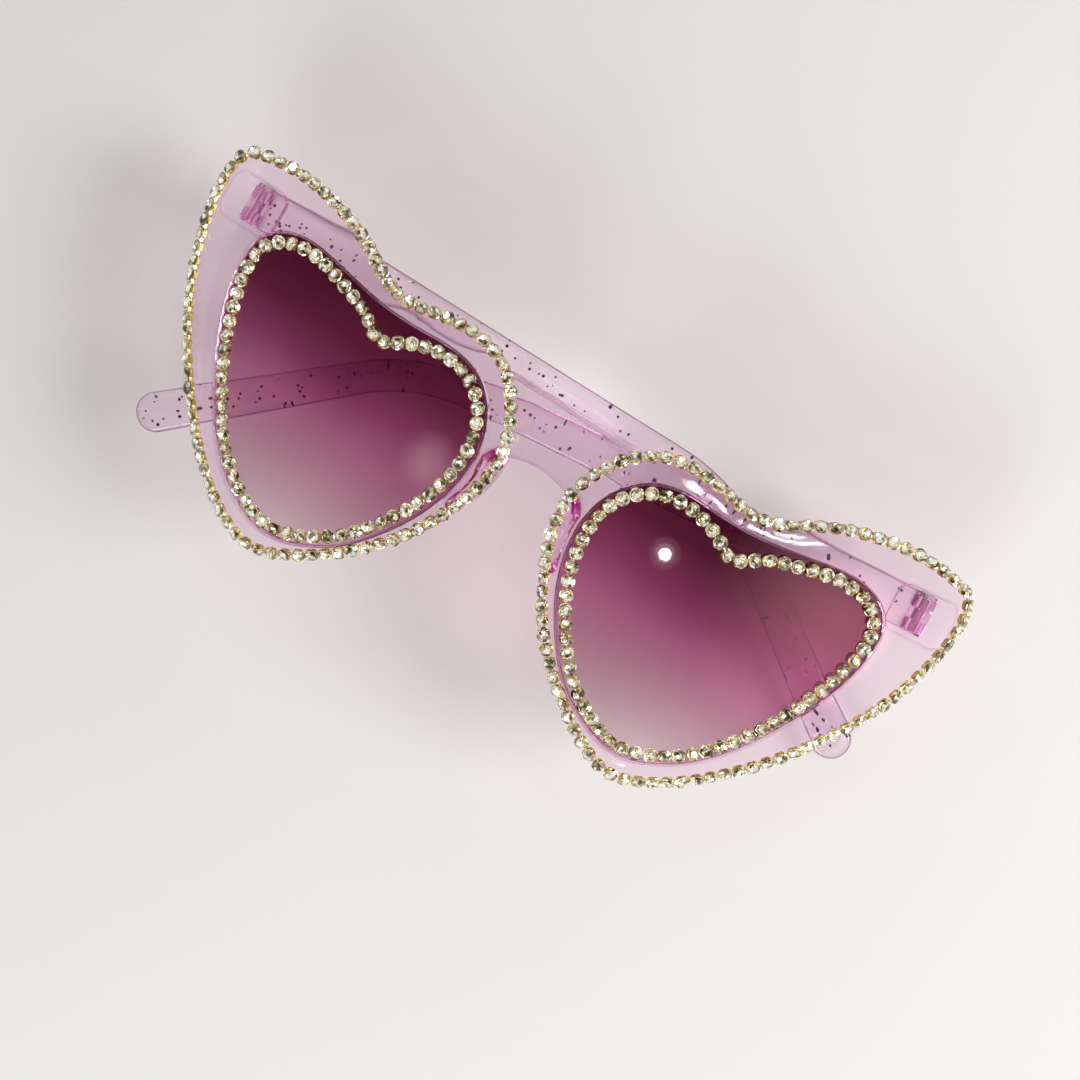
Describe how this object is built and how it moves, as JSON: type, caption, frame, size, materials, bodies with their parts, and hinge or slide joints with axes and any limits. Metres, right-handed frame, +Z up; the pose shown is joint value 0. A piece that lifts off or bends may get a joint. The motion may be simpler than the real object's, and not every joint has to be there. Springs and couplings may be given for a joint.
{
  "type": "heart-shaped sunglasses",
  "caption": "Heart-shaped sunglasses with clear lilac frame, plum gradient lenses, crystal cup-chain trim round both hearts and two folding temples on screwed hinges.",
  "frame": {"origin": "middle of the nose bridge, at the level of the front's face", "axes": "+X to the wearer's left, +Y from the front towards the wearer's ears, +Z up as worn"},
  "size_m": [0.1554, 0.0326, 0.063],
  "materials": {
    "frame_plastic": "polished clear lilac injection moulding",
    "lens_tint": "polished plum sheet, tint fading to the bottom",
    "screw_metal": "nickel-plated steel",
    "chain_metal": "gold-plated stamped brass",
    "crystal": "foil-backed cut crystal"
  },
  "bodies": {
    "front": {"frame_front": "frame_plastic", "lens_left": "lens_tint", "lens_right": "lens_tint", "hinge_screw_left": "screw_metal", "hinge_screw_right": "screw_metal", "chain_outer_left_cups": "chain_metal", "chain_outer_left_stones": "crystal", "chain_outer_left_links": "chain_metal", "chain_outer_right_cups": "chain_metal", "chain_outer_right_stones": "crystal", "chain_outer_right_links": "chain_metal", "chain_inner_left_cups": "chain_metal", "chain_inner_left_stones": "crystal", "chain_inner_left_links": "chain_metal", "chain_inner_right_cups": "chain_metal", "chain_inner_right_stones": "crystal", "chain_inner_right_links": "chain_metal"},
    "left_arm": {"temple_left": "frame_plastic"},
    "right_arm": {"temple_right": "frame_plastic"}
  },
  "joints": [
    {"name": "right_temple_hinge", "type": "hinge", "parent": "front", "child": "right_arm", "pos_m": [-0.0697, 0.0168, 0.0064], "axis": [0, 0, 1], "range_deg": [0, 88.5]},
    {"name": "left_temple_hinge", "type": "hinge", "parent": "front", "child": "left_arm", "pos_m": [0.0697, 0.0168, 0.0064], "axis": [0.0976, 0, -0.9952], "range_deg": [0, 88]}
  ],
  "couplings": [
    {"joint": "left_temple_hinge", "follows": "right_temple_hinge", "ratio": 0.99435}
  ]
}
